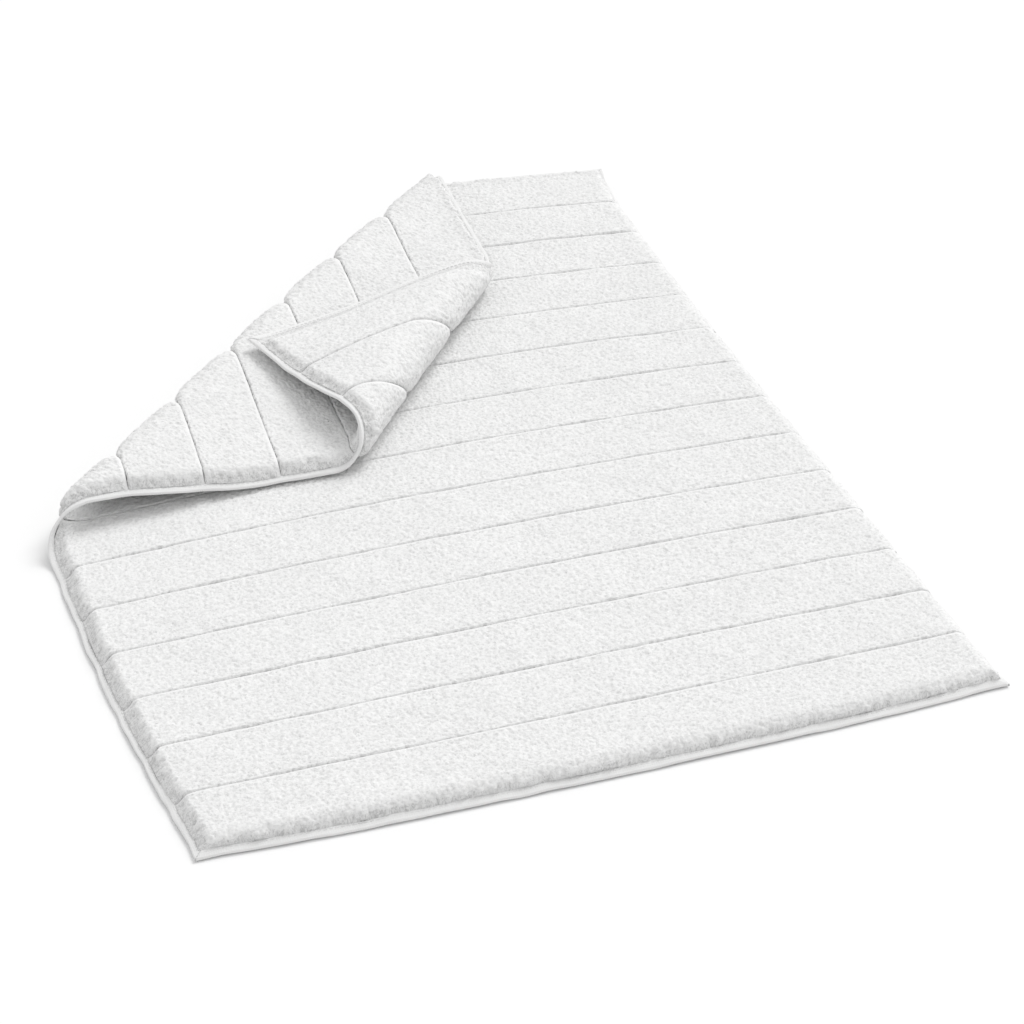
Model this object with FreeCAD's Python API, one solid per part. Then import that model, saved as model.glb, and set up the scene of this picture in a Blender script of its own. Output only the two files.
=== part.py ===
import FreeCAD, Part
import math
import os

# Bath mat: fourteen ribs of looped pile stand on each face of one woven ground cloth, and four
# turned hems, each held by a seam, close its edges. It lies flat, with its far-left corner turned
# over and the tip of that corner turned back up again.
#
# Every piece is drawn on the flat mat first: u runs along the near edge, v runs away from it, and
# w is the height above the middle of the cloth. The two folds then carry the flat points to their
# places. Millimetres, +Z up, origin on the floor under the middle of the mat.

# The flat mat
MAT_WIDTH = 500.0
MAT_LENGTH = 700.0
RIB_COUNT = 14

# Its layers
GROUND_THICKNESS = 2.0
PILE_HEIGHT = 4.8
PILE_CLEARANCE = 0.2
GROOVE_WIDTH = 3.0
RIB_EDGE_RADIUS = 3.5

# Hems and seams
HEM_WIDTH = 6.0
HEM_HEIGHT = 3.4
HEM_DROP = 4.0
HEM_EDGE_SHARE = 0.35
THREAD_WIDTH = 0.8
THREAD_HEIGHT = 0.4

# The turned corner: each fold line runs from the left edge to the far edge
LAYER_GAP = 1.0
CORNER_FOLD_LEFT_V = 314.0
CORNER_FOLD_FAR_U = 392.0
CORNER_FOLD_RADII = (14.5, 7.0)
CORNER_FOLD_SETTLE = (56.0, 25.0)
TIP_FOLD_LEFT_V = 529.0
TIP_FOLD_FAR_U = 238.0
TIP_FOLD_RADII = (14.0, 10.7)
TIP_FOLD_SETTLE = (90.0, 90.0)

# Spacing of the control points, and the room left round the folds
FINE_STEP = 4.0
CLOTH_STEP = 5.0
COARSE_STEP = 60.0
FOLD_MARGIN = 12.0
SLAB_DEGREE = 3

# Worked out from the above
HALF_GROUND = GROUND_THICKNESS / 2
SHEET_THICKNESS = GROUND_THICKNESS + 2 * (PILE_HEIGHT + PILE_CLEARANCE)
LAYER_STEP = SHEET_THICKNESS + LAYER_GAP
PILE_FOOT = HALF_GROUND + PILE_CLEARANCE
RIB_PITCH = (MAT_LENGTH - 2 * HEM_WIDTH) / RIB_COUNT
INNER_RIGHT = MAT_WIDTH - HEM_WIDTH
INNER_FAR = MAT_LENGTH - HEM_WIDTH
RIB_GAP = GROOVE_WIDTH / 2


def between(pair, share):
    """The value at a share of the way from the first of a pair to the second."""
    return pair[0] + (pair[1] - pair[0]) * share


def ease(share):
    """A smooth step from 0 to 1."""
    share = min(max(share, 0.0), 1.0)
    return share * share * (3 - 2 * share)


class Fold:
    """A fold along a straight line from the left edge to the far edge of the flat mat.

    The sheet rolls round a cylinder whose radius changes along the line, and then settles on to
    the layer it is folded over. facing is 1 where it turns over upwards, and -1 where it turns
    towards the other face."""

    def __init__(self, left_v, far_u, radii, settle, facing):
        self.start = FreeCAD.Vector(0, left_v, 0)
        run = FreeCAD.Vector(far_u, MAT_LENGTH, 0) - self.start
        self.length = run.Length
        self.along = run / self.length
        self.across = FreeCAD.Vector(-self.along.y, self.along.x, 0)
        self.radii = radii
        self.settle = settle
        self.facing = facing

    def carry(self, point):
        """Take one point of the sheet through the fold."""
        offset = FreeCAD.Vector(point.x, point.y, 0) - self.start
        beyond = offset.dot(self.across)
        if beyond <= 0:
            return point
        share = min(max(offset.dot(self.along) / self.length, 0.0), 1.0)
        radius = between(self.radii, share)
        angle = min(beyond / radius, math.pi)
        reach = radius * math.sin(angle)
        rise = radius * (1 - math.cos(angle))
        past = beyond - math.pi * radius
        if past > 0:
            reach = -past
            rise += (LAYER_STEP - 2 * radius) * ease(past / between(self.settle, share))
        level = self.facing * point.z
        reach -= level * math.sin(angle)
        height = self.facing * (rise + level * math.cos(angle))
        place = offset + self.start + self.across * (reach - beyond)
        return FreeCAD.Vector(place.x, place.y, height)

    def u_at(self, v):
        """Where the fold line passes at v."""
        return (v - self.start.y) * self.along.x / self.along.y


CORNER_FOLD = Fold(CORNER_FOLD_LEFT_V, CORNER_FOLD_FAR_U, CORNER_FOLD_RADII, CORNER_FOLD_SETTLE, 1)
TIP_FOLD = Fold(TIP_FOLD_LEFT_V, TIP_FOLD_FAR_U, TIP_FOLD_RADII, TIP_FOLD_SETTLE, -1)


def place(u, v, w):
    """The place in the room of a point of the flat mat."""
    point = CORNER_FOLD.carry(TIP_FOLD.carry(FreeCAD.Vector(u, v, w)))
    return point + FreeCAD.Vector(0, 0, SHEET_THICKNESS / 2)


def steps(start, end, step):
    """Evenly spaced stations from start to end, no further apart than step."""
    count = max(1, math.ceil((end - start) / step))
    return [start + (end - start) * index / count for index in range(count + 1)]


def stations(start, end, fine_start, fine_end, fine_step):
    """Stations that are close together between fine_start and fine_end, and far apart outside."""
    low = min(max(fine_start, start), end)
    high = min(max(fine_end, start), end)
    found = [start]
    for first, last, step in ((start, low, COARSE_STEP), (low, high, fine_step),
                              (high, end, COARSE_STEP)):
        if last > first:
            found += steps(first, last, step)[1:]
    return found


def eased_ends(values, inset):
    """The same stations with one more near each end, so that the edge there is crisp."""
    inner = [value for value in values[1:-1] if values[0] + inset < value < values[-1] - inset]
    return [values[0], values[0] + inset] + inner + [values[-1] - inset, values[-1]]


def knots(count, degree):
    """Knots and multiplicities of a clamped B-spline with this many control points."""
    spans = count - degree
    repeats = [degree + 1] + [1] * (spans - 1) + [degree + 1]
    return [float(index) for index in range(spans + 1)], repeats


def face(rows):
    """The face of the B-spline surface with these rows of control points."""
    row_degree = min(SLAB_DEGREE, len(rows) - 1)
    column_degree = min(SLAB_DEGREE, len(rows[0]) - 1)
    row_knots, row_repeats = knots(len(rows), row_degree)
    column_knots, column_repeats = knots(len(rows[0]), column_degree)
    surface = Part.BSplineSurface()
    surface.buildFromPolesMultsKnots(rows, row_repeats, column_repeats, row_knots, column_knots,
                                     False, False, row_degree, column_degree)
    return surface.toShape()


def slab(us, vs, lower, upper):
    """A closed solid over a rectangle of the flat mat, between two height functions."""
    under = [[place(u, v, lower(u, v)) for v in vs] for u in us]
    over = [[place(u, v, upper(u, v)) for v in vs] for u in us]
    faces = [face(under), face(over), face([under[0], over[0]]), face([under[-1], over[-1]])]
    for end in (0, -1):
        faces.append(face([[row[end] for row in under], [row[end] for row in over]]))
    shell = Part.Shell(faces)
    shell.sewShape()
    solid = Part.Solid(shell)
    if solid.Volume < 0:
        solid.reverse()
    return solid


def level(height):
    """A height function that is the same everywhere."""
    return lambda u, v: height


def ground_cloth():
    """The thin woven cloth that carries the pile, through both folds."""
    us = stations(HEM_WIDTH, INNER_RIGHT, 0, CORNER_FOLD_FAR_U + FOLD_MARGIN, CLOTH_STEP)
    vs = stations(HEM_WIDTH, INNER_FAR, CORNER_FOLD_LEFT_V - FOLD_MARGIN, MAT_LENGTH, CLOTH_STEP)
    return slab(us, vs, level(-HALF_GROUND), level(HALF_GROUND))


def flat_rib(near, far, facing):
    """A rib that lies wholly on the flat part: a block with rounded outer edges."""
    low = PILE_FOOT if facing > 0 else -PILE_FOOT - PILE_HEIGHT
    corner = FreeCAD.Vector(HEM_WIDTH, near, low + SHEET_THICKNESS / 2)
    block = Part.makeBox(INNER_RIGHT - HEM_WIDTH, far - near, PILE_HEIGHT, corner)
    outer = SHEET_THICKNESS / 2 + facing * (PILE_FOOT + PILE_HEIGHT)
    rounded = [edge for edge in block.Edges if abs(edge.CenterOfMass.z - outer) < PILE_CLEARANCE]
    return block.makeFillet(RIB_EDGE_RADIUS, rounded)


def folded_rib(near, far, facing):
    """A rib that runs into the turned corner."""

    def crest(u, v):
        inset = min(u - HEM_WIDTH, INNER_RIGHT - u, v - near, far - v, RIB_EDGE_RADIUS)
        drop = RIB_EDGE_RADIUS - inset
        rise = math.sqrt(RIB_EDGE_RADIUS ** 2 - drop ** 2) - RIB_EDGE_RADIUS
        return facing * (PILE_FOOT + PILE_HEIGHT + rise)

    fold_end = CORNER_FOLD.u_at(far) + FOLD_MARGIN
    us = eased_ends(stations(HEM_WIDTH, INNER_RIGHT, 0, fold_end, FINE_STEP), RIB_EDGE_RADIUS)
    vs = eased_ends(steps(near, far, FINE_STEP), RIB_EDGE_RADIUS)
    foot = level(facing * PILE_FOOT)
    return slab(us, vs, foot, crest)


def pile_rib(index, facing):
    """One rib of pile, counted from the near edge, on the upper (1) or the under (-1) face."""
    near = HEM_WIDTH + index * RIB_PITCH + RIB_GAP
    far = near + RIB_PITCH - GROOVE_WIDTH
    make = flat_rib if far < CORNER_FOLD_LEFT_V else folded_rib
    return make(near, far, facing)


def hem_stations(low, high):
    """Five stations across a hem."""
    return steps(low, high, (high - low) / 4)


def hem(us, vs, inset):
    """A rolled hem with a rounded section that slopes down to its outer edge.

    inset gives how far a point of the flat mat is from the hem's outer edge."""

    def middle(u, v):
        return -HEM_DROP * (1 - inset(u, v) / HEM_WIDTH)

    def swell(u, v):
        side = 2 * inset(u, v) / HEM_WIDTH - 1
        round_part = math.sqrt(max(0.0, 1 - side * side))
        return HEM_HEIGHT / 2 * (HEM_EDGE_SHARE + (1 - HEM_EDGE_SHARE) * round_part)

    return slab(us, vs, lambda u, v: middle(u, v) - swell(u, v),
                lambda u, v: middle(u, v) + swell(u, v))


def seam(us, vs):
    """The two threads of a lock-stitched seam, one on each face of a hem."""
    threads = []
    for facing in (1, -1):
        surface = -HEM_DROP / 2 + facing * HEM_HEIGHT / 2
        low, high = sorted((surface, surface + facing * THREAD_HEIGHT))
        threads.append(slab(us, vs, level(low), level(high)))
    return Part.makeCompound(threads)


def long_stations():
    """Stations along the four edges: near, far, left and right."""
    across = steps(0, MAT_WIDTH, COARSE_STEP)
    far_edge = stations(HEM_WIDTH, MAT_WIDTH, 0, CORNER_FOLD_FAR_U + FOLD_MARGIN, FINE_STEP)
    left_edge = stations(HEM_WIDTH, MAT_LENGTH, CORNER_FOLD_LEFT_V - FOLD_MARGIN, MAT_LENGTH,
                         FINE_STEP)
    right_edge = steps(HEM_WIDTH, INNER_FAR, COARSE_STEP)
    return across, far_edge, left_edge, right_edge


def edge_pieces():
    """The four hems and the seam of each."""
    near_us, far_us, left_vs, right_vs = long_stations()
    low = hem_stations(0, HEM_WIDTH)
    right = hem_stations(INNER_RIGHT, MAT_WIDTH)
    far = hem_stations(INNER_FAR, MAT_LENGTH)
    middle = HEM_WIDTH / 2
    near_thread = [middle - THREAD_WIDTH / 2, middle + THREAD_WIDTH / 2]
    right_thread = [INNER_RIGHT + value for value in near_thread]
    far_thread = [INNER_FAR + value for value in near_thread]
    return {
        "hem_near": hem(near_us, low, lambda u, v: v),
        "hem_far": hem(far_us, far, lambda u, v: MAT_LENGTH - v),
        "hem_left": hem(low, left_vs, lambda u, v: u),
        "hem_right": hem(right, right_vs, lambda u, v: MAT_WIDTH - u),
        "seam_near": seam(near_us, near_thread),
        "seam_far": seam(far_us, far_thread),
        "seam_left": seam(near_thread, left_vs),
        "seam_right": seam(right_thread, right_vs),
    }


def all_pieces():
    """Every piece of the mat by its name, with u and v as X and Y."""
    pieces = {"ground_cloth": ground_cloth()}
    for index in range(RIB_COUNT):
        pieces[f"pile_rib_upper_{index + 1:02d}"] = pile_rib(index, 1)
        pieces[f"pile_rib_under_{index + 1:02d}"] = pile_rib(index, -1)
    pieces.update(edge_pieces())
    return pieces


def main():
    os.makedirs("parts", exist_ok=True)
    pieces = all_pieces()
    whole = Part.makeCompound(list(pieces.values())).optimalBoundingBox(False)
    to_origin = FreeCAD.Vector(-whole.Center.x, -whole.Center.y, 0)
    for name, shape in pieces.items():
        shape.translate(to_origin)
        shape.exportStep(f"parts/{name}.step")
        print(f"{name}: valid {shape.isValid()}, volume {shape.Volume / 1000:.1f} cm3")
    print(f"overall {whole.XLength:.1f} x {whole.YLength:.1f} x {whole.ZMax:.1f} mm,",
          f"lowest point {whole.ZMin:.2f}, near-left corner at",
          f"{to_origin.x:.2f}, {to_origin.y:.2f}")


main()
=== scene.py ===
import math

import bpy
import numpy as np
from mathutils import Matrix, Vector


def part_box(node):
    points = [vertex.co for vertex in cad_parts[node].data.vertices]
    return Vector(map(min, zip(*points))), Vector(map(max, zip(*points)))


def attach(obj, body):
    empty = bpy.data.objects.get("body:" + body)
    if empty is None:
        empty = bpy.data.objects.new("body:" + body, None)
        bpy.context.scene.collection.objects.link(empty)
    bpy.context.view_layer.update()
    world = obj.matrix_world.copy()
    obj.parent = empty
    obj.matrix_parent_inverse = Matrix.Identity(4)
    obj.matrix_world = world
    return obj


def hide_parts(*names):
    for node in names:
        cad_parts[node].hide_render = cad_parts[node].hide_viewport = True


# A ribbed terry bath mat on a pale floor. Every piece is drawn on the flat mat first: u runs along
# the near edge, v away from it, and w is the height above the middle of the ground cloth. Two folds
# like the frame's then carry the flat points to their places: the far-left corner is turned over on
# to the mat, and its tip is turned back up. Metres throughout.

MM = 0.001

# Random draws: the first seed, and the spare rows of a lattice of noise
SEED = 2741
LATTICE_SPARE = 4

# The sheet and its two folds. A fold's line runs from left_v on the left edge to far_u on the far
# edge. Its radii, and the lengths in which it settles to one layer's height, are at those two ends.
RIB_COUNT = 14
HALF_SHEET = 6.0 * MM
LAYER_STEP = 13.0 * MM
CORNER_FOLD = {"left_v": 314 * MM, "far_u": 392 * MM, "radii": (13.8 * MM, 7.0 * MM),
               "settle": (105 * MM, 25 * MM), "facing": 1}
TIP_FOLD = {"left_v": 529 * MM, "far_u": 238 * MM, "radii": (14.0 * MM, 10.7 * MM),
            "settle": (90 * MM, 90 * MM), "facing": -1}

# How the soft sheet lies. The bow of a side is an arch and an S-shaped wave. The near edge is taken
# up least in its middle and most at its ends.
EDGE_DROP = 4.3 * MM
EDGE_DROP_REACH = 12 * MM
FAR_RISE = 2.6 * MM
FAR_RISE_REACH = 30 * MM
LEFT_BOW = (-9.0 * MM, -4.2 * MM)
RIGHT_BOW = (-4.1 * MM, 1.2 * MM)
NEAR_BOW = -2.1 * MM
FAR_BOW = 24.3 * MM
NEAR_TAKE_UP = (3.0 * MM, 8.0 * MM)
NEAR_TAKE_UP_POWER = 4
NEAR_TAKE_UP_REACH = 70 * MM
GROOVE_PULL = 0.8 * MM
GROOVE_PULL_REACH = 9 * MM
CORNER_EAR = 1.2 * MM
CORNER_EAR_REACH = 9 * MM
FLOOR_CLEARANCE = 0.15 * MM

# Pile. Where a value depends on the face, 1 is the upper face and -1 the under one.
PILE_FOOT = 0.6 * MM
PILE_ROOT = 0.3 * PILE_FOOT
PILE_HEIGHT = 4.9 * MM
LEAST_RISE = 0.2 * MM
PILE_INSET = {1: 4.4 * MM, -1: 3.7 * MM}
PILE_INSET_LEFT = {1: 3.5 * MM, -1: 3.4 * MM}
PILE_INSET_RIGHT = {1: 3.0 * MM, -1: 3.4 * MM}
GROOVE_GAP = 0.16 * MM
GROOVE_FLOOR = 0.70
NEAR_SHOULDER = 1.1 * MM
FAR_SHOULDER = 3.4 * MM
SHOULDER_POWER = 2.2
HEM_SHOULDER = 4.5 * MM
TIP_SHOULDER = 12.0 * MM
LEFT_SHOULDER = {1: 7.5 * MM, -1: 5.0 * MM}
LEFT_FOOT = 0.2
RIGHT_SHOULDER = 4.5 * MM
OPEN_GROOVE = 12 * MM
CLOSED_GROOVE = 15 * MM
BEND_SWELL = {1: 0.16, -1: 0.50}
BEND_SHOULDER = 0.4
LUMP_HEIGHT = 0.45 * MM
LUMP_CELL = 28 * MM
SMALL_LUMP_CELL = 9 * MM
SMALL_LUMP_SHARE = 0.6
RAGGED_EDGE = 1.5 * MM
RAGGED_TUFT = 4.5 * MM
SMOOTH_BAND = (0.9 * MM, 3.2 * MM)

# The loops of the pile
LOOP_PITCH = (2.3 * MM, 1.9 * MM)
LOOP_JITTER = 0.5
LOOP_HALF_LENGTH = 2.1 * MM
LOOP_HALF_WIDTH = 0.95 * MM
LOOP_HEIGHT = 1.0 * MM
LOOP_HEIGHT_SHARES = (0.55, 1.0)
LOOP_TURN = 0.9
LOOP_BEND = 0.7
LOOP_LEAN = 0.5 * MM
LOOP_LEAN_CELL = 3 * MM
BEND_LOOPS = {1: 0.3, -1: 1.3}

# How closely the pile is sampled. The under face is fine where the corner is turned and a margin
# further, unless less than LEAST_TURNED of the rib is.
FINE = 1.0 * MM
COARSE = 3.0 * MM
GROOVE_STEP_SHARE = 0.6
GROOVE_MARGIN = 4 * MM
TURNED_MARGIN = 12 * MM
LEAST_TURNED = 20 * MM
INNER_COLUMNS = 7

# Hems and seams. HEM_ROUND is the length that the noise takes the way round a hem to be.
HEM_SEED = SEED + 100
HEM_HALF_WIDTH = {"near": 2.5 * MM, "far": 2.2 * MM, "left": 2.1 * MM, "right": 1.9 * MM}
HEM_HALF_HEIGHT = 1.15 * MM
HEM_STEP = 1.6 * MM
HEM_RING = 16
HEM_POWER = 0.62
HEM_ROUND = 30 * MM
HEM_SOFT_CELL = 16 * MM
HEM_FINE_CELL = 5 * MM
HEM_WANDER = 0.35 * MM
HEM_WAVE = 0.25 * MM
HEM_SOFT_SWELL = 0.10
HEM_FINE_SWELL = 0.05
SEAM_SHARE = 1.32
STITCH_PITCH = 3.4 * MM
STITCH_LENGTH = 2.7 * MM
STITCH_RADIUS = 0.27 * MM
STITCH_DIP = 0.35 * MM
STITCH_TIP = 0.05
STITCH_STATIONS = 7
STITCH_SIDES = 6

# Ground cloth
CLOTH_INSET = 4.0 * MM
CLOTH_HALF = 0.55 * MM
CLOTH_STEP = 5.5 * MM

# Colours, and the sizes of what the materials draw
WHITE = (1, 1, 1)
COTTON = (0.855, 0.855, 0.852)
# The pile's colour at its foot: painted shade, darker than the cotton itself
COTTON_FOOT_SHADE = (0.80, 0.80, 0.797)
PILE_PATCH = 30 * MM
# Sizes of the strokes of painted shade on the pile's top and walls
STROKE = 1.9 * MM
STROKE_SQUEEZE = (0.45, 1, 1)
WALL_STROKE = 2.1 * MM
WALL_SQUEEZE = (1, 1, 0.35)
WALL_TUFT = 6 * MM
CURL = 1.7 * MM
PILE_FIBRE = 0.6 * MM
WEAVE_PATCH = 12 * MM
WEAVE_SHADE = 0.955
WEAVE_FIBRE = 0.8 * MM
WAVE_RADIANS = 20
COTTON_SPECULAR = 0.15
SHEEN_ROUGHNESS = 0.6

# Camera, from the near-left corner of the mat. The lens and the sensor are in millimetres.
CAMERA_OFFSET = (-0.330, -1.465, 1.206)
CAMERA_AZIMUTH = math.radians(19.32)
CAMERA_ELEVATION = math.radians(33.01)
CAMERA_LENS = 120.6
SENSOR = 36.0

# Stage
WORLD_STRENGTH = 0.78
KEY_SPOT = (2.2, 1.5, 2.7)
KEY_STRENGTH = 1.6
KEY_ANGLE = math.radians(30)
FLOOR_HALF = 6.0
FLOOR_COLOUR = 0.89
FLOOR_ROUGHNESS = 0.9
FLOOR_SPECULAR = 0.1

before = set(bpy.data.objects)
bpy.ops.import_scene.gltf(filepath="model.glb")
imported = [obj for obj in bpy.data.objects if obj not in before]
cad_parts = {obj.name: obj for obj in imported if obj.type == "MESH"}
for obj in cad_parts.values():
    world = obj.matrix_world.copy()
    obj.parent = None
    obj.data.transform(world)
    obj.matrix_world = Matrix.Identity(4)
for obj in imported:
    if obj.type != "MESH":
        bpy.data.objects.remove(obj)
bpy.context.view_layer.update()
near_low, near_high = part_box("hem_near")
right_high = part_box("hem_right")[1]
ORIGIN = np.array([near_low[0], near_low[1], 0.0])
HEM_WIDTH = near_high[1] - near_low[1]
MAT_WIDTH = near_high[0] - near_low[0]
MAT_LENGTH = right_high[1] - near_low[1] + HEM_WIDTH
RIB_PITCH = (MAT_LENGTH - 2 * HEM_WIDTH) / RIB_COUNT
SIDE_PULL_REACH = 4 * HEM_WIDTH


# Curves and noise

def ease(share):
    """A smooth step from 0 to 1."""
    share = np.clip(share, 0.0, 1.0)
    return share * share * (3 - 2 * share)


def bump(distance, reach):
    """1 at no distance, falling smoothly to 0 well past reach."""
    return np.exp(-(distance / reach) ** 2)


def arch(share):
    """1 in the middle and 0 at both ends."""
    return 4 * share * (1 - share)


def between(ends, share):
    """The value a share of the way from the first of two ends to the second."""
    return ends[0] + (ends[1] - ends[0]) * share


def spread(low, high, step):
    """Evenly spaced values from low to high, about a step apart."""
    return np.linspace(low, high, max(2, int(round((high - low) / step)) + 1))


def graded(low, high, step, fine_step, margin):
    """Like spread, but closer together near both ends."""
    first = spread(low, low + margin, fine_step)
    last = spread(high - margin, high, fine_step)
    return np.concatenate([first[:-1], spread(low + margin, high - margin, step), last[1:]])


def value_noise(u, v, cell, rng):
    """Smooth noise from -1 to 1 with bumps about a cell apart."""
    low_u, low_v = u.min(), v.min()
    count_u = int((u.max() - low_u) / cell) + LATTICE_SPARE
    count_v = int((v.max() - low_v) / cell) + LATTICE_SPARE
    lattice = rng.uniform(-1, 1, (count_u, count_v))
    at_u, at_v = (u - low_u) / cell, (v - low_v) / cell
    iu, iv = at_u.astype(int), at_v.astype(int)
    fu, fv = ease(at_u - iu), ease(at_v - iv)
    near = lattice[iu, iv] * (1 - fu) + lattice[iu + 1, iv] * fu
    far = lattice[iu, iv + 1] * (1 - fu) + lattice[iu + 1, iv + 1] * fu
    return near * (1 - fv) + far * fv


# Folds and places

class Fold:
    """One fold of the sheet along a straight line from its left edge to its far edge."""

    def __init__(self, left_v, far_u, radii, settle, facing):
        self.left_v = left_v
        run = np.array([far_u, MAT_LENGTH - left_v])
        self.length = np.hypot(*run)
        self.along = run / self.length
        self.across = np.array([-self.along[1], self.along[0]])
        self.radii = radii
        self.settle = settle
        self.facing = facing

    def local(self, u, v):
        """Distance past the line, share of the way along it, and the radius and angle there."""
        offset_v = v - self.left_v
        past = u * self.across[0] + offset_v * self.across[1]
        share = np.clip((u * self.along[0] + offset_v * self.along[1]) / self.length, 0, 1)
        radius = between(self.radii, share)
        angle = np.clip(past / radius, 0, np.pi)
        return past, share, radius, angle

    def angle(self, u, v):
        """How far the sheet has turned at a point, from 0 to pi."""
        return self.local(u, v)[3]

    def carry(self, u, v, w):
        """Take flat points through the fold."""
        past, share, radius, angle = self.local(u, v)
        after = np.maximum(past - np.pi * radius, 0)
        reach = np.where(after > 0, -after, radius * np.sin(angle))
        settled = ease(after / between(self.settle, share))
        rise = radius * (1 - np.cos(angle)) + (LAYER_STEP - 2 * radius) * settled
        level = self.facing * w
        shift = np.where(past > 0, reach - level * np.sin(angle) - past, 0)
        height = np.where(past > 0, self.facing * (rise + level * np.cos(angle)), w)
        return u + shift * self.across[0], v + shift * self.across[1], height

    def u_at(self, v):
        """Where the line passes at v."""
        return (v - self.left_v) * self.along[0] / self.along[1]


corner_fold = Fold(**CORNER_FOLD)
tip_fold = Fold(**TIP_FOLD)


def side_pull(u, v):
    """Grooves draw the side hems in a little, and the corners stand out as small ears."""
    phase = (v - HEM_WIDTH) / RIB_PITCH
    to_groove = np.abs(phase - np.round(phase)) * RIB_PITCH
    inner_groove = (v > HEM_WIDTH + RIB_PITCH / 2) & (v < MAT_LENGTH - HEM_WIDTH - RIB_PITCH / 2)
    pull = GROOVE_PULL * bump(to_groove, GROOVE_PULL_REACH) * inner_groove
    left = pull * (1 - ease(u / SIDE_PULL_REACH))
    right = pull * (1 - ease((MAT_WIDTH - u) / SIDE_PULL_REACH))
    to_side = np.minimum(u, MAT_WIDTH - u)
    to_end = np.minimum(v, MAT_LENGTH - v)
    ear = CORNER_EAR * bump(np.hypot(to_side, to_end), CORNER_EAR_REACH)
    return u + left - right + ear * np.sign(u - MAT_WIDTH / 2), v + ear * np.sign(v - MAT_LENGTH / 2)


def bow(x, y):
    """The lie of the whole mat on the floor: its edges and grooves are not quite straight."""
    across = np.clip(x / MAT_WIDTH, 0, 1)
    along = np.clip(y / MAT_LENGTH, 0, 1)
    wave = np.sin(2 * np.pi * along)
    left = LEFT_BOW[0] * arch(along) + LEFT_BOW[1] * wave
    right = RIGHT_BOW[0] * arch(along) + RIGHT_BOW[1] * wave
    away = between((NEAR_BOW, FAR_BOW), along) * arch(across)
    taken = between(NEAR_TAKE_UP, np.abs(2 * across - 1) ** NEAR_TAKE_UP_POWER)
    away = away + taken * (1 - ease(y / NEAR_TAKE_UP_REACH))
    return x + left * (1 - across) + right * across, y + away


def place(u, v, w):
    """The places in the room of points of the flat mat.

    The near and side edges sink a little, and the far edge rises. Where the corner is turned over,
    w looks down, so it changes the other way. The tip lies pressed on the flap and does neither."""
    tip_angle = tip_fold.angle(u, v)
    down = -np.cos(corner_fold.angle(u, v)) * np.cos(tip_angle) * (1 - ease(tip_angle / np.pi))
    from_far = MAT_LENGTH - v
    to_edge = np.minimum(np.minimum(u, MAT_WIDTH - u), v)
    sinks = (1 - ease(to_edge / EDGE_DROP_REACH)) * (1 - bump(from_far, FAR_RISE_REACH))
    rises = 1 - ease(from_far / EDGE_DROP_REACH)
    w = w + (EDGE_DROP * sinks - FAR_RISE * rises) * down
    u, v = side_pull(u, v)
    x, y, z = corner_fold.carry(*tip_fold.carry(u, v, w))
    x, y = bow(x, y)
    z = np.maximum(z + HALF_SHEET, FLOOR_CLEARANCE)
    return np.stack([x + ORIGIN[0], y + ORIGIN[1], z], axis=-1)


# Meshes

def make_mesh(name, points, quads, polygons=(), attributes=None):
    """A mesh object from numpy points and quads, and a few polygons with more corners."""
    mesh = bpy.data.meshes.new(name)
    corners = np.concatenate([quads.ravel()] + [np.asarray(p) for p in polygons]).astype(np.int32)
    sizes = np.array([4] * len(quads) + [len(p) for p in polygons], dtype=np.int32)
    starts = np.concatenate([[0], np.cumsum(sizes)[:-1]]).astype(np.int32)
    mesh.vertices.add(len(points))
    mesh.vertices.foreach_set("co", points.astype(np.float32).ravel())
    mesh.loops.add(len(corners))
    mesh.loops.foreach_set("vertex_index", corners)
    mesh.polygons.add(len(sizes))
    mesh.polygons.foreach_set("loop_start", starts)
    mesh.polygons.foreach_set("use_smooth", np.ones(len(sizes), dtype=bool))
    for key, values in (attributes or {}).items():
        layer = mesh.attributes.new(key, "FLOAT", "POINT")
        layer.data.foreach_set("value", values.astype(np.float32).ravel())
    mesh.update(calc_edges=True)
    mesh.validate()
    piece = bpy.data.objects.new(name, mesh)
    bpy.context.scene.collection.objects.link(piece)
    return piece


def grid_quads(index):
    """The quads between the points of a grid, given the points' numbers row by row."""
    quads = np.stack([index[:-1, :-1], index[1:, :-1], index[1:, 1:], index[:-1, 1:]], axis=-1)
    return quads.reshape(-1, 4)


def closed_slab(name, us, vs, outer, inner_height, keep, facing, attributes=None):
    """A closed sheet between two faces over the flat mat.

    outer holds the flat points of the face that looks up (facing 1) or down (-1), one row for each
    u. The other face is level at inner_height, and keeps only the columns in keep. Where it keeps
    them all, the two ends are rows of quads, so that a long end can follow a curved edge."""
    rows, columns = len(us), len(vs)
    inner_u, inner_v = np.meshgrid(us, vs[keep], indexing="ij")
    shown = place(*outer)
    hidden = place(inner_u, inner_v, np.full_like(inner_u, inner_height))
    points = np.concatenate([shown.reshape(-1, 3), hidden.reshape(-1, 3)])
    start = rows * columns
    over = np.arange(start).reshape(rows, columns)
    under = start + np.arange(rows * len(keep)).reshape(rows, len(keep))
    near_wall = np.stack([over[:-1, 0], under[:-1, 0], under[1:, 0], over[1:, 0]], axis=-1)
    far_wall = np.stack([over[1:, -1], under[1:, -1], under[:-1, -1], over[:-1, -1]], axis=-1)
    faces = [grid_quads(over), grid_quads(under)[:, ::-1], near_wall, far_wall]
    if len(keep) == columns:
        faces += [grid_quads(np.stack([over[0], under[0]], axis=1)),
                  grid_quads(np.stack([under[-1], over[-1]], axis=1))]
        ends = []
    else:
        ends = [np.concatenate([over[0], under[0][::-1]]),
                np.concatenate([over[-1][::-1], under[-1]])]
    quads = np.concatenate(faces)
    if facing < 0:
        quads = quads[:, ::-1]
        ends = [end[::-1] for end in ends]
    if attributes:
        blank = np.zeros(under.size)
        attributes = {key: np.concatenate([value.ravel(), blank]) for key, value in attributes.items()}
    return make_mesh(name, points, quads, ends, attributes)


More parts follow.
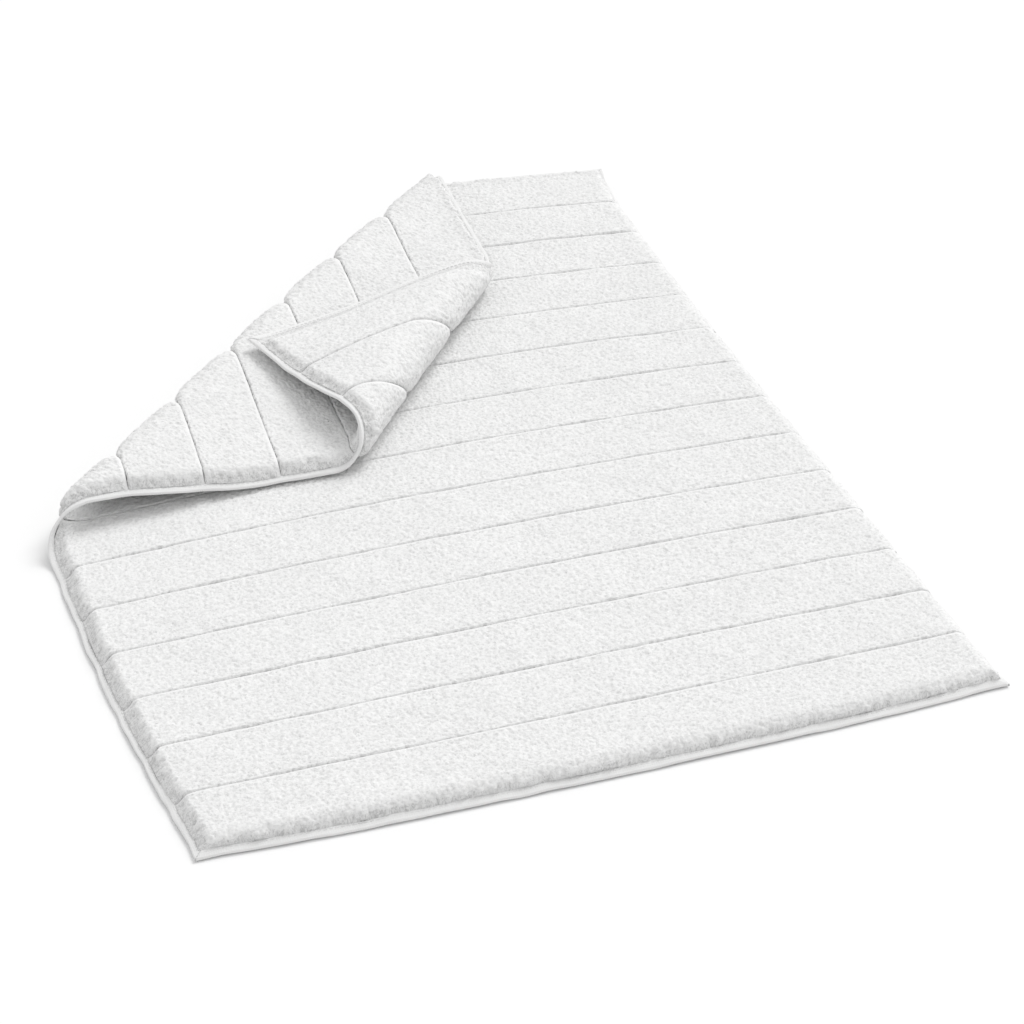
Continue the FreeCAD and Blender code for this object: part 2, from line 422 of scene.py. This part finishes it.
def dress(piece, cad_node, slot_name):
    """Give a piece its material and its body, and let it stand for its CAD node."""
    piece.data.materials.append(materials[slot_name])
    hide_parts(cad_node)
    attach(piece, "root")
    return piece


# Pile

def loop_field(us, vs, rng):
    """Height from 0 to 1 of a field of small bent loops, laid on a jittered grid."""
    centres_u = np.arange(us[0], us[-1] + LOOP_PITCH[0], LOOP_PITCH[0])
    centres_v = np.arange(vs[0], vs[-1] + LOOP_PITCH[1], LOOP_PITCH[1])
    cu, cv = np.meshgrid(centres_u, centres_v, indexing="ij")
    cu = (cu + rng.uniform(-LOOP_JITTER, LOOP_JITTER, cu.shape) * LOOP_PITCH[0]).ravel()
    cv = (cv + rng.uniform(-LOOP_JITTER, LOOP_JITTER, cv.shape) * LOOP_PITCH[1]).ravel()
    turn = rng.normal(0, LOOP_TURN, cu.shape)
    tall = rng.uniform(*LOOP_HEIGHT_SHARES, cu.shape)
    bend = rng.uniform(-LOOP_BEND, LOOP_BEND, cu.shape)
    field = np.zeros((len(us), len(vs)))
    at_u = np.searchsorted(us, cu)
    at_v = np.searchsorted(vs, cv)
    reach_u = int(math.ceil(LOOP_HALF_LENGTH / np.median(np.diff(us)))) + 1
    reach_v = int(math.ceil(LOOP_HALF_LENGTH / np.min(np.diff(vs)))) + 1
    for du in range(-reach_u, reach_u + 1):
        for dv in range(-reach_v, reach_v + 1):
            iu, iv = at_u + du, at_v + dv
            inside = (iu >= 0) & (iu < len(us)) & (iv >= 0) & (iv < len(vs))
            iu, iv = iu[inside], iv[inside]
            off_u, off_v = us[iu] - cu[inside], vs[iv] - cv[inside]
            cos, sin = np.cos(turn[inside]), np.sin(turn[inside])
            along = (off_u * cos + off_v * sin) / LOOP_HALF_LENGTH
            across = (off_v * cos - off_u * sin) / LOOP_HALF_WIDTH
            across = across - bend[inside] * (1 - along ** 2)
            body = np.sqrt(np.clip(1 - along ** 2 - across ** 2, 0, None)) * tall[inside]
            np.maximum.at(field, (iu, iv), body)
    return field


def shoulder_fall(share):
    """0 at the foot of a shoulder and 1 at its top, steep first and then flat."""
    short = 1 - np.clip(share, 0, 1)
    return np.clip(1 - short ** SHOULDER_POWER, 0, 1) ** (1 / SHOULDER_POWER)


def rib_profile(u, v, bounds, facing, swell, ragged):
    """Height of a rib from 0 to 1: flat on top, with round shoulders at its sides and ends.

    A side that faces a groove stops at the groove's floor, which opens at the left end, closes at
    the right end and deepens where the rib swells on a bend. A side that faces a hem goes right
    down, in ragged tufts, or in one long slope where the tip lies pressed on the flap."""
    near, far = bounds
    inset = PILE_INSET[facing]
    from_left = u - PILE_INSET_LEFT[facing]
    from_right = MAT_WIDTH - PILE_INSET_RIGHT[facing] - u
    left_end = between((LEFT_FOOT, 1), ease((from_left + ragged) / LEFT_SHOULDER[facing]))
    profile = left_end * shoulder_fall((from_right + ragged) / RIGHT_SHOULDER)
    opened = 1 - ease(from_left / OPEN_GROOVE)
    closed = 1 - ease(from_right / CLOSED_GROOVE)
    on_tip = ease(tip_fold.angle(u, v) / np.pi)
    sides = ((v - near, near == inset, NEAR_SHOULDER),
             (far - v, far == MAT_LENGTH - inset, FAR_SHOULDER))
    for gap, outer, groove_shoulder in sides:
        if outer:
            upright = shoulder_fall((gap + ragged) / HEM_SHOULDER)
            fall = between((upright, ease(gap / TIP_SHOULDER)), on_tip)
        else:
            floor = between((GROOVE_FLOOR, 1), closed) * (1 - swell) * (1 - opened)
            shoulder = groove_shoulder * (1 + opened) + swell * (far - near) * BEND_SHOULDER
            fall = between((floor, 1), shoulder_fall(gap / shoulder))
        profile = profile * fall
    return profile


def rib_stations(index, facing):
    """Where a rib's surface is sampled. Under the flat mat, where nothing shows, it is coarse."""
    inset = PILE_INSET[facing]
    near = HEM_WIDTH + index * RIB_PITCH + GROOVE_GAP / 2
    far = near + RIB_PITCH - GROOVE_GAP
    if index == 0:
        near = inset
    if index == RIB_COUNT - 1:
        far = MAT_LENGTH - inset
    low, high = PILE_INSET_LEFT[facing], MAT_WIDTH - PILE_INSET_RIGHT[facing]
    turned = corner_fold.u_at(far) + TURNED_MARGIN
    if facing > 0 or turned > high:
        us = spread(low, high, FINE)
    elif turned < low + LEAST_TURNED:
        us = spread(low, high, COARSE)
    else:
        us = np.concatenate([spread(low, turned, FINE), spread(turned, high, COARSE)[1:]])
    step = FINE if facing > 0 or turned > low else COARSE
    vs = graded(near, far, step, step * GROOVE_STEP_SHARE, GROOVE_MARGIN)
    return us, vs, (near, far)


def pile_rib(index, facing):
    """One rib of looped pile on the upper (1) or the under (-1) face.

    The rib swells and its loops stand out on the outside of a bend: the corner fold's for the under
    face and the tip fold's for the upper one. Its loops fade out along its far side, unless it is
    the last rib, and are half as tall where the rib runs out."""
    face_name = "upper" if facing > 0 else "under"
    name = f"pile_rib_{face_name}_{index + 1:02d}"
    rng = np.random.default_rng(SEED + 2 * index + (facing > 0))
    us, vs, bounds = rib_stations(index, facing)
    u, v = np.meshgrid(us, vs, indexing="ij")
    fold = tip_fold if facing > 0 else corner_fold
    bend = np.sin(fold.angle(u, v))
    swell = BEND_SWELL[facing]
    ragged = RAGGED_EDGE * value_noise(u, v, RAGGED_TUFT, rng)
    profile = rib_profile(u, v, bounds, facing, bend * swell / BEND_SWELL[-1], ragged)
    lumps = value_noise(u, v, LUMP_CELL, rng)
    lumps = lumps + SMALL_LUMP_SHARE * value_noise(u, v, SMALL_LUMP_CELL, rng)
    base = PILE_HEIGHT * (1 + swell * bend) * profile + LUMP_HEIGHT * lumps * profile
    slope_u, slope_v = np.gradient(base, us, vs)
    steep = np.sqrt(1 + slope_u ** 2 + slope_v ** 2)
    loops = loop_field(us, vs, rng)
    looped = ease((bounds[1] - v - SMOOTH_BAND[0]) / (SMOOTH_BAND[1] - SMOOTH_BAND[0]))
    if index == RIB_COUNT - 1:
        looped = np.ones_like(looped)
    out = LOOP_HEIGHT * (loops - 0.5) * (0.5 + 0.5 * profile) * looped * (1 + BEND_LOOPS[facing] * bend)
    push = out / steep
    lean = LOOP_LEAN * value_noise(u, v, LOOP_LEAN_CELL, rng)
    outer_u = u - slope_u * push + lean * profile
    outer_v = v - slope_v * push
    outer_w = facing * (PILE_FOOT + np.maximum(base + push, LEAST_RISE))
    keep = np.unique(np.linspace(0, len(vs) - 1, INNER_COLUMNS).round().astype(int))
    # Each point keeps how tall its loop stands, how far the rib has risen and how looped it is; the
    # pile material paints shade from these
    piece = closed_slab(f"{name}_loops", us, vs, (outer_u, outer_v, outer_w),
                        facing * PILE_ROOT, keep, facing,
                        {"loop_height": loops, "pile_rise": profile, "looped": looped})
    return dress(piece, name, "terry_pile")


# Hems, seams and ground cloth

def hem_lift(share):
    """Half thickness of a hem, from 0 at its outer edge over 1 in the middle to 2."""
    side = np.clip(np.abs(share - 1), 0, 1)
    power = 1 / HEM_POWER
    return HEM_HALF_HEIGHT * (1 - side ** (2 * power)) ** (HEM_POWER / 2)


def edge_length(side):
    """The length of one edge of the flat mat."""
    return MAT_WIDTH if side in ("near", "far") else MAT_LENGTH


def edge_point(side, run, inset):
    """Flat u and v of a point of one edge: run goes along it from 0 to 1, inset is how far in."""
    along = inset + run * (edge_length(side) - 2 * inset)
    if side == "near":
        return along, inset
    if side == "far":
        return along, MAT_LENGTH - inset
    if side == "left":
        return inset, along
    return MAT_WIDTH - inset, along


def hem(side, seed):
    """A turned hem: a soft flat roll of cloth along one edge, mitred at the corners."""
    rng = np.random.default_rng(seed)
    runs = spread(0, 1, HEM_STEP / edge_length(side))
    turn = np.linspace(0, 2 * np.pi, HEM_RING, endpoint=False)
    cos, sin = np.cos(turn), np.sin(turn)
    across = HEM_HALF_WIDTH[side] * (1 + np.sign(cos) * np.abs(cos) ** HEM_POWER)
    lift = HEM_HALF_HEIGHT * np.sign(sin) * np.abs(sin) ** HEM_POWER
    run, inset = np.meshgrid(runs, across, indexing="ij")
    metres = run * edge_length(side)
    ring = np.broadcast_to(turn / (2 * np.pi) * HEM_ROUND, run.shape)
    soft = value_noise(metres, ring, HEM_SOFT_CELL, rng)
    fine = value_noise(metres, ring, HEM_FINE_CELL, rng)
    inset = inset + HEM_WANDER * soft
    height = lift * (1 + HEM_SOFT_SWELL * soft + HEM_FINE_SWELL * fine) + HEM_WAVE * soft
    u, v = edge_point(side, run, inset)
    points = place(u, v, height).reshape(-1, 3)
    index = np.arange(len(runs) * HEM_RING).reshape(len(runs), HEM_RING)
    index = np.concatenate([index, index[:, :1]], axis=1)
    quads = np.stack([index[:-1, :-1], index[:-1, 1:], index[1:, 1:], index[1:, :-1]], axis=-1)
    quads = quads.reshape(-1, 4)
    caps = [index[0, :-1][::-1], index[-1, :-1]]
    if side in ("left", "far"):
        quads = quads[:, ::-1]
        caps = [cap[::-1] for cap in caps]
    return dress(make_mesh(f"hem_{side}_roll", points, quads, caps), f"hem_{side}", "hem_cloth")


def seam(side):
    """Lock stitches along a hem, on both faces: each is a short thread that dips in at its ends."""
    length = edge_length(side)
    seam_inset = SEAM_SHARE * HEM_HALF_WIDTH[side]
    centres = np.arange(seam_inset + STITCH_PITCH, length - seam_inset - STITCH_PITCH, STITCH_PITCH)
    stations = np.linspace(-1, 1, STITCH_STATIONS)
    turn = np.linspace(0, 2 * np.pi, STITCH_SIDES, endpoint=False)
    points, quads, caps = [], [], []
    thick = STITCH_RADIUS * np.sqrt(np.clip(1 + STITCH_TIP - stations ** 6, STITCH_TIP, 1))
    top = hem_lift(SEAM_SHARE)
    count = 0
    for facing in (1, -1):
        centre, station, around = np.meshgrid(centres, np.arange(len(stations)), turn, indexing="ij")
        along = centre + stations[station] * STITCH_LENGTH / 2
        inset = seam_inset + thick[station] * np.cos(around)
        rise = top + thick[station] * np.sin(around) - STITCH_DIP * stations[station] ** 4
        share = (along - inset) / (length - 2 * inset)
        u, v = edge_point(side, share, inset)
        points.append(place(u, v, facing * rise).reshape(-1, 3))
        index = count + np.arange(centre.size).reshape(centre.shape)
        index = np.concatenate([index, index[:, :, :1]], axis=2)
        body = np.stack([index[:, :-1, :-1], index[:, :-1, 1:], index[:, 1:, 1:], index[:, 1:, :-1]],
                        axis=-1).reshape(-1, 4)
        ends = [*index[:, 0, :-1][:, ::-1], *index[:, -1, :-1]]
        if (side in ("left", "far")) == (facing > 0):
            body = body[:, ::-1]
            ends = [row[::-1] for row in ends]
        quads.append(body)
        caps += ends
        count += centre.size
    piece = make_mesh(f"seam_{side}_stitches", np.concatenate(points), np.concatenate(quads), caps)
    return dress(piece, f"seam_{side}", "seam_thread")


def ground_cloth():
    """The thin woven cloth that the pile stands on."""
    us = spread(CLOTH_INSET, MAT_WIDTH - CLOTH_INSET, CLOTH_STEP)
    vs = spread(CLOTH_INSET, MAT_LENGTH - CLOTH_INSET, CLOTH_STEP)
    u, v = np.meshgrid(us, vs, indexing="ij")
    upper = (u, v, np.full_like(u, CLOTH_HALF))
    piece = closed_slab("ground_cloth_weave", us, vs, upper, -CLOTH_HALF, np.arange(len(vs)), 1)
    return dress(piece, "ground_cloth", "ground_weave")


def build_mat():
    """Every piece of the mat: the ground cloth, and all that is on it."""
    on_cloth = [pile_rib(index, facing) for index in range(RIB_COUNT) for facing in (1, -1)]
    for number, side in enumerate(("near", "far", "left", "right")):
        on_cloth += [hem(side, HEM_SEED + number), seam(side)]
    return ground_cloth(), on_cloth


# Materials

def node(tree, kind, **settings):
    """Add a shader node and set its properties."""
    made = tree.nodes.new(kind)
    for key, value in settings.items():
        setattr(made, key, value)
    return made


def new_material(name, roughness, sheen):
    """A matt cotton material with its principled shader, ready for colour and bump."""
    material = bpy.data.materials.new(name)
    material.use_nodes = True
    tree = material.node_tree
    shader = tree.nodes["Principled BSDF"]
    shader.inputs["Roughness"].default_value = roughness
    shader.inputs["Specular IOR Level"].default_value = COTTON_SPECULAR
    shader.inputs["Sheen Weight"].default_value = sheen
    shader.inputs["Sheen Roughness"].default_value = SHEEN_ROUGHNESS
    return material, tree, shader


def grey(level):
    """The three parts of a plain grey."""
    return (level, level, level)


def ramp(tree, source, low, high, dark, light):
    """A ramp of colour from dark at low to light at high."""
    made = node(tree, "ShaderNodeValToRGB")
    made.color_ramp.elements[0].position = low
    made.color_ramp.elements[0].color = (*dark, 1)
    made.color_ramp.elements[1].position = high
    made.color_ramp.elements[1].color = (*light, 1)
    tree.links.new(source, made.inputs["Fac"])
    return made.outputs["Color"]


def coordinates(tree):
    """Real-scale coordinates, in metres."""
    return node(tree, "ShaderNodeTexCoord").outputs["Object"]


def squeezed(tree, vector, scale):
    """Coordinates times a scale, which draws marks out along the axis whose scale is small."""
    made = node(tree, "ShaderNodeMapping")
    made.inputs["Scale"].default_value = scale
    tree.links.new(vector, made.inputs["Vector"])
    return made.outputs["Vector"]


def attribute(tree, name):
    """A value that the mesh holds for each of its points."""
    return node(tree, "ShaderNodeAttribute", attribute_name=name).outputs["Fac"]


def maths(tree, operation, *values):
    """A sum on outputs of other nodes or plain numbers."""
    made = node(tree, "ShaderNodeMath", operation=operation)
    for entry, value in zip(made.inputs, values):
        if isinstance(value, float):
            entry.default_value = value
        else:
            tree.links.new(value, entry)
    return made.outputs["Value"]


def noise(tree, vector, size, detail=3.0, roughness=0.55, distortion=0.0):
    """Noise with features about size metres across."""
    made = node(tree, "ShaderNodeTexNoise")
    made.inputs["Scale"].default_value = 1 / size
    made.inputs["Detail"].default_value = detail
    made.inputs["Roughness"].default_value = roughness
    made.inputs["Distortion"].default_value = distortion
    tree.links.new(vector, made.inputs["Vector"])
    return made.outputs["Fac"]


def bump_node(tree, height, strength, distance, below=None):
    """A bump, on top of another one if given."""
    made = node(tree, "ShaderNodeBump")
    made.inputs["Strength"].default_value = strength
    made.inputs["Distance"].default_value = distance
    tree.links.new(height, made.inputs["Height"])
    if below:
        tree.links.new(below, made.inputs["Normal"])
    return made.outputs["Normal"]


def mix_multiply(tree, first, second, share=None):
    """The product of two colours, or only a share of the way to it."""
    made = node(tree, "ShaderNodeMix", data_type="RGBA", blend_type="MULTIPLY")
    made.inputs["Factor"].default_value = 1.0
    tree.links.new(first, made.inputs["A"])
    tree.links.new(second, made.inputs["B"])
    if share:
        tree.links.new(share, made.inputs["Factor"])
    return made.outputs["Result"]


def pile_material():
    """Looped cotton, with painted shade at the foot and between the loops, short strokes of painted
    shade where it is looped, stronger ones on the ribs' walls, and curls and stray fibres as bump."""
    material, tree, shader = new_material("terry_pile", roughness=0.95, sheen=0.04)
    vector = coordinates(tree)
    rise = attribute(tree, "pile_rise")
    looped = attribute(tree, "looped")
    # Painted shade: the pile darker towards its foot, at the ribs' shoulders and ends
    foot = ramp(tree, rise, low=0.10, high=0.85, dark=COTTON_FOOT_SHADE, light=COTTON)
    patch = ramp(tree, noise(tree, vector, PILE_PATCH), low=0.3, high=0.7,
                 dark=grey(0.965), light=WHITE)
    # Painted shade between the loops: darker where the loops stand low
    cavity_shade = ramp(tree, attribute(tree, "loop_height"), low=0.0, high=0.7,
                  dark=grey(0.90), light=WHITE)
    # Painted shade in short lying strokes between the yarns, only where the pile is looped
    lying = noise(tree, squeezed(tree, vector, STROKE_SQUEEZE), STROKE, roughness=0.6, distortion=1.8)
    strokes = ramp(tree, lying, low=0.34, high=0.5, dark=grey(0.87), light=WHITE)
    marks = mix_multiply(tree, cavity_shade, strokes)
    tint = mix_multiply(tree, mix_multiply(tree, foot, patch), marks, looped)
    # Painted shade on the ribs' walls and ends: upright strokes, strongest where the rib runs down, and
    # only where it is looped
    upright = noise(tree, squeezed(tree, vector, WALL_SQUEEZE), WALL_STROKE, detail=2.0,
                    roughness=0.6, distortion=2.0)
    walls = ramp(tree, upright, low=0.38, high=0.56, dark=grey(0.74), light=WHITE)
    ragged = maths(tree, "MULTIPLY_ADD", noise(tree, vector, WALL_TUFT), 0.5, rise)
    wall_shade_mask = ramp(tree, ragged, low=0.92, high=1.20, dark=WHITE, light=grey(0.12))
    tint = mix_multiply(tree, tint, walls, maths(tree, "MULTIPLY", wall_shade_mask, looped))
    tree.links.new(tint, shader.inputs["Base Color"])
    curls = node(tree, "ShaderNodeTexVoronoi", feature="SMOOTH_F1")
    curls.inputs["Scale"].default_value = 1 / CURL
    tree.links.new(vector, curls.inputs["Vector"])
    first = bump_node(tree, curls.outputs["Distance"], strength=0.6, distance=-0.8 * MM)
    fibres = noise(tree, vector, PILE_FIBRE, detail=2.0)
    second = bump_node(tree, fibres, strength=0.4, distance=0.3 * MM, below=first)
    tree.links.new(second, shader.inputs["Normal"])
    return material


def weave_height(tree, vector, pitch):
    """A plain weave: warp and weft bands that pass over and under each other, a pitch wide."""
    waves = []
    for direction in ("X", "Y"):
        made = node(tree, "ShaderNodeTexWave", wave_type="BANDS", bands_direction=direction)
        made.inputs["Scale"].default_value = math.pi / (WAVE_RADIANS * pitch)
        tree.links.new(vector, made.inputs["Vector"])
        waves.append(made.outputs["Fac"])
    return maths(tree, "MAXIMUM", *waves)


def woven_material(name, colour, pitch, sheen):
    """Close woven cotton with its weave as bump and a faint unevenness of colour."""
    material, tree, shader = new_material(name, roughness=0.9, sheen=sheen)
    vector = coordinates(tree)
    shade = tuple(WEAVE_SHADE * part for part in colour)
    tint = ramp(tree, noise(tree, vector, WEAVE_PATCH, detail=4.0), low=0.3, high=0.7,
                dark=shade, light=colour)
    tree.links.new(tint, shader.inputs["Base Color"])
    weave = weave_height(tree, vector, pitch)
    first = bump_node(tree, weave, strength=0.5, distance=0.25 * MM)
    fibres = noise(tree, vector, WEAVE_FIBRE, detail=2.0)
    second = bump_node(tree, fibres, strength=0.3, distance=0.2 * MM, below=first)
    tree.links.new(second, shader.inputs["Normal"])
    return material


def floor_material():
    """Plain matt floor."""
    material = bpy.data.materials.new("studio_floor")
    material.use_nodes = True
    shader = material.node_tree.nodes["Principled BSDF"]
    shader.inputs["Base Color"].default_value = (*grey(FLOOR_COLOUR), 1)
    shader.inputs["Roughness"].default_value = FLOOR_ROUGHNESS
    shader.inputs["Specular IOR Level"].default_value = FLOOR_SPECULAR
    return material


# Stage

def build_stage():
    """A pale floor, white surroundings and one broad soft light from behind and to the right."""
    corners = FLOOR_HALF * np.array([(-1, -1, 0), (1, -1, 0), (1, 1, 0), (-1, 1, 0)])
    floor = make_mesh("studio_floor", corners, np.array([[0, 1, 2, 3]]))
    floor.data.materials.append(floor_material())

    world = bpy.data.worlds.new("studio")
    bpy.context.scene.world = world
    world.use_nodes = True
    world.node_tree.nodes["Background"].inputs["Color"].default_value = (*WHITE, 1)
    world.node_tree.nodes["Background"].inputs["Strength"].default_value = WORLD_STRENGTH

    light = bpy.data.lights.new("key", "SUN")
    light.energy = KEY_STRENGTH
    light.angle = KEY_ANGLE
    lamp = bpy.data.objects.new("key", light)
    bpy.context.scene.collection.objects.link(lamp)
    lamp.location = KEY_SPOT
    lamp.rotation_euler = (-Vector(KEY_SPOT)).to_track_quat("-Z", "Y").to_euler()
    return floor


def build_camera():
    """The camera stands in front of the near-left corner and looks over the mat."""
    data = bpy.data.cameras.new("camera")
    data.lens = CAMERA_LENS
    data.sensor_width = SENSOR
    camera = bpy.data.objects.new("camera", data)
    bpy.context.scene.collection.objects.link(camera)
    camera.location = ORIGIN + np.array(CAMERA_OFFSET)
    camera.rotation_euler = (math.pi / 2 - CAMERA_ELEVATION, 0, -CAMERA_AZIMUTH)
    bpy.context.scene.camera = camera


materials = {
    "terry_pile": pile_material(),
    "ground_weave": woven_material("ground_weave", (0.78, 0.78, 0.775), pitch=1.1 * MM, sheen=0.03),
    "hem_cloth": woven_material("hem_cloth", (0.82, 0.82, 0.817), pitch=0.7 * MM, sheen=0.04),
    "seam_thread": woven_material("seam_thread", (0.80, 0.80, 0.797), pitch=0.4 * MM, sheen=0.04),
}
build_camera()
floor = build_stage()
cloth, on_cloth = build_mat()
bpy.context.scene.view_settings.view_transform = "Standard"
